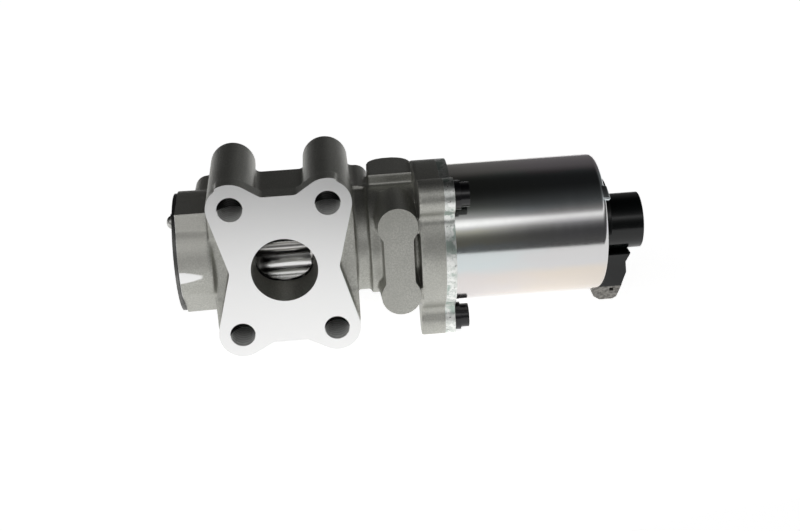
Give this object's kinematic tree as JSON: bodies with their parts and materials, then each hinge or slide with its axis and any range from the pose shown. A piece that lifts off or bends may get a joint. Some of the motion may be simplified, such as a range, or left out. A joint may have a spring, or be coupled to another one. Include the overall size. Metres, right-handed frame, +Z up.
{
  "type": "egr valve",
  "caption": "Exhaust gas recirculation valve: cast double-seat poppet valve body with an X-shaped bolting flange, slid by a stepper motor in a drawn steel can with a round plug socket.",
  "frame": {"origin": "centre of the gas inlet, on the machined front face of the X-shaped flange", "axes": "+X along the valve and motor axis towards the motor and its connector, +Y into the body away from the front face, +Z up"},
  "size_m": [0.1767, 0.0672, 0.0716],
  "materials": {
    "cast_aluminium": "sand-cast, blasted; mounting faces machined bright",
    "stainless_steel": "turned stainless steel",
    "seat_steel": "ground heat-resistant steel",
    "bush_bronze": "sintered bronze",
    "seal_polymer": "filled PTFE lip seal",
    "o_ring_rubber": "black fluoro rubber",
    "gasket": "graphite-faced steel gasket",
    "spring_steel": "oiled spring steel",
    "cover_steel": "darkened pressed steel",
    "small_screw_steel": "zinc-plated steel",
    "adapter_steel": "zinc-plated sheet steel",
    "black_screw_steel": "black oxide steel",
    "can_steel": "deep-drawn steel, bright yellow-chromated zinc",
    "housing_aluminium": "die-cast and turned",
    "bearing_steel": "ground bearing steel",
    "rotor_brass": "turned brass",
    "rotor_magnet": "sintered ferrite magnet",
    "stator_steel": "zinc-plated soft steel",
    "bobbin_plastic": "natural nylon",
    "copper_winding": "enamelled copper wire",
    "board_plastic": "glass-epoxy board",
    "terminal_brass": "tin-plated brass",
    "black_plastic": "moulded glass-filled nylon"
  },
  "bodies": {
    "root": {"valve_body": "cast_aluminium", "left_seat": "seat_steel", "right_seat": "seat_steel", "guide_bush": "bush_bronze", "deposit_scraper": "stainless_steel", "stem_seal": "seal_polymer", "seal_retainer": "stainless_steel", "return_spring": "spring_steel", "cover_gasket": "gasket", "end_cover": "cover_steel", "end_cover_screws": "small_screw_steel", "flange_o_ring": "o_ring_rubber", "adapter_plate": "adapter_steel", "adapter_screws": "black_screw_steel", "motor_can": "can_steel", "front_housing": "housing_aluminium", "rear_housing": "housing_aluminium", "housing_o_ring": "o_ring_rubber", "front_bearing_outer": "bearing_steel", "rear_bearing_outer": "bearing_steel", "wave_washer": "spring_steel", "front_pole_cup": "stator_steel", "front_bobbin": "bobbin_plastic", "front_winding": "copper_winding", "rear_pole_cup": "stator_steel", "rear_bobbin": "bobbin_plastic", "rear_winding": "copper_winding", "terminal_board": "board_plastic", "terminals": "terminal_brass", "connector_cap": "black_plastic"},
    "valve": {"valve_stem": "stainless_steel", "left_poppet": "stainless_steel", "right_poppet": "stainless_steel", "poppet_nut": "stainless_steel", "spring_retainer": "stainless_steel", "retainer_clip": "spring_steel", "lead_screw": "stainless_steel"},
    "rotor": {"rotor_hub": "rotor_brass", "rotor_magnet": "rotor_magnet", "front_bearing_inner": "bearing_steel", "rear_bearing_inner": "bearing_steel"},
    "bearing_balls": {"front_bearing_balls": "bearing_steel", "rear_bearing_balls": "bearing_steel"}
  },
  "joints": [
    {"name": "rotor_spin", "type": "hinge", "parent": "root", "child": "rotor", "pos_m": [0, 0.0255, 0], "axis": [-1, 0, 0], "range_deg": [0, 450]},
    {"name": "stem_slide", "type": "slide", "parent": "root", "child": "valve", "axis": [-1, 0, 0], "range_m": [0, 0.005], "stiffness_N_per_m": 1500, "springref_m": -0.008, "deforming": ["return_spring"]},
    {"name": "bearing_roll", "type": "hinge", "parent": "root", "child": "bearing_balls", "pos_m": [0, 0.0255, 0], "axis": [-1, 0, 0], "range_deg": [0, 185]}
  ],
  "couplings": [
    {"joint": "rotor_spin", "follows": "stem_slide", "rad_per_m": 1570.8},
    {"joint": "bearing_roll", "follows": "stem_slide", "rad_per_m": 628.32}
  ]
}
